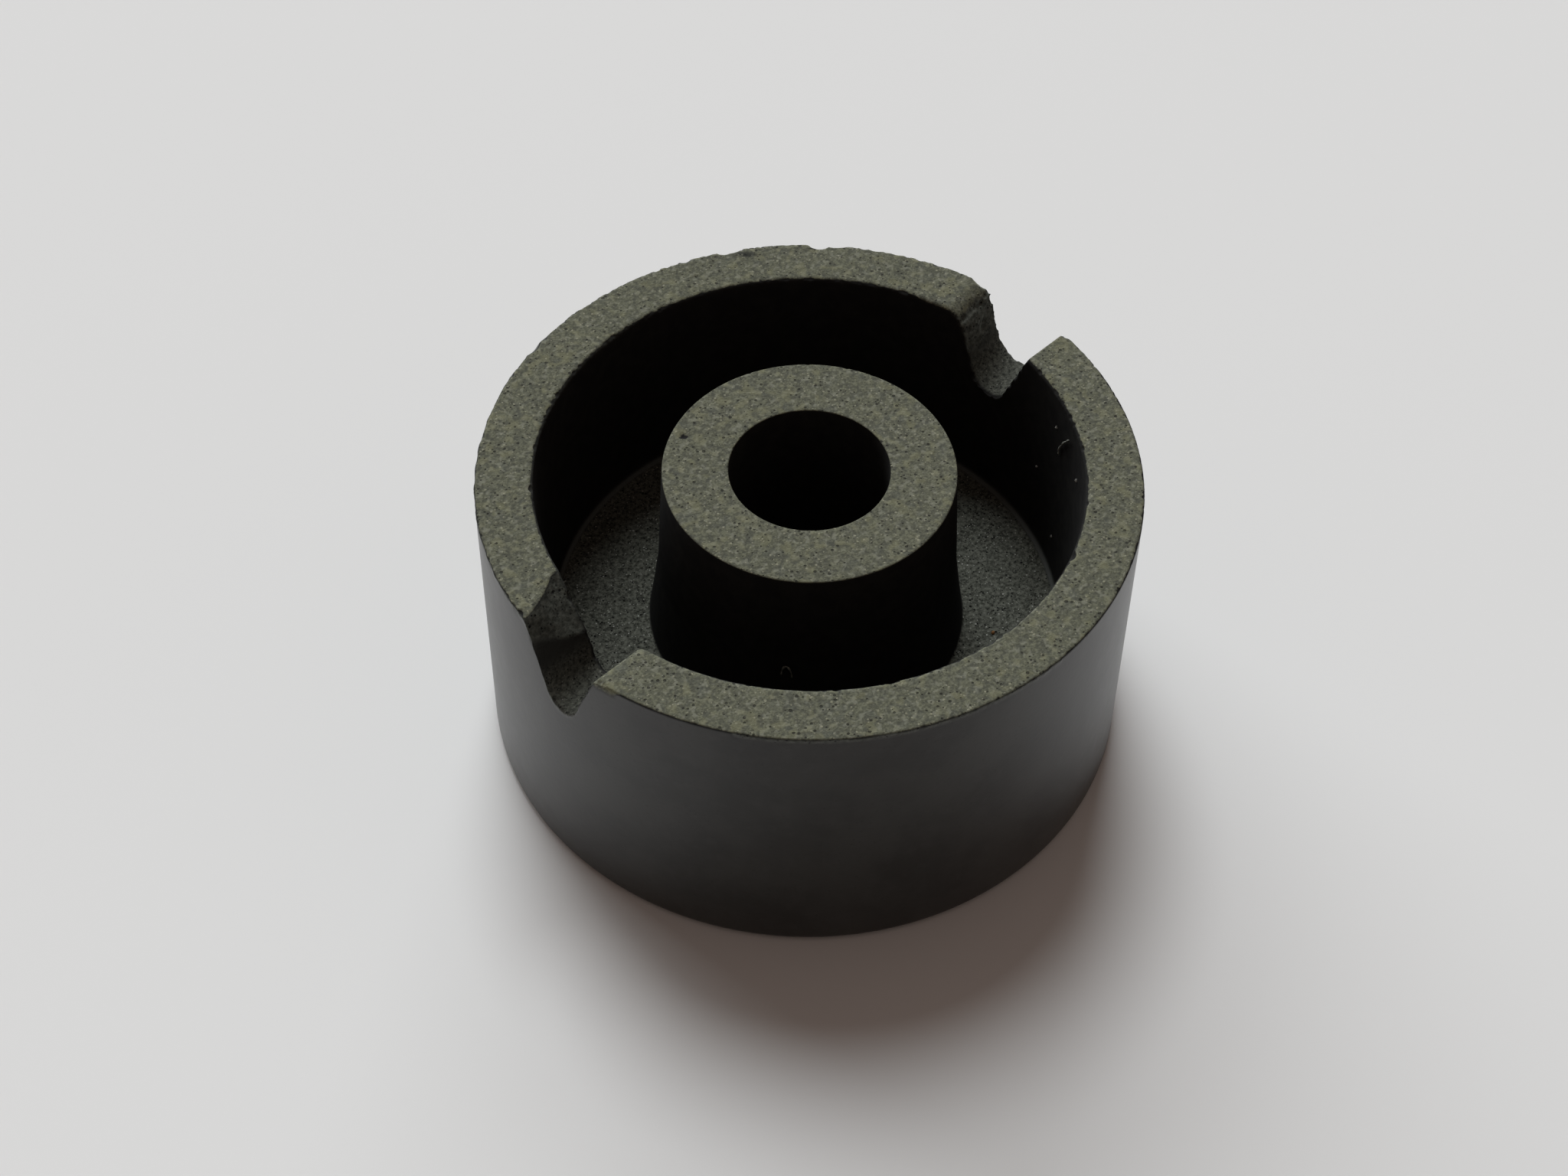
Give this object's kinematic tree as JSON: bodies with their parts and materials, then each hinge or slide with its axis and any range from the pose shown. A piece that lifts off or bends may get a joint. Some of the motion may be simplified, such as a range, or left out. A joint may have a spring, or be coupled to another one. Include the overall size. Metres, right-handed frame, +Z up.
{
  "type": "ferrite pot core half",
  "caption": "Round ferrite cup with a hollow centre post, a ring-shaped winding chamber and wire notches in its rim, one half of a shielded inductor core.",
  "frame": {"origin": "centre of the closed base, on the bore axis", "axes": "+Z up the bore towards the ground mating face, +X through the wire notch with the broken flank, +Y across"},
  "size_m": [0.0224, 0.0224, 0.0111],
  "materials": {
    "ferrite": "dark grey sintered ferrite, satin on the pressed walls, matt and granular on the ground faces"
  },
  "bodies": {
    "root": {"pot_core_half": "ferrite"}
  },
  "joints": []
}
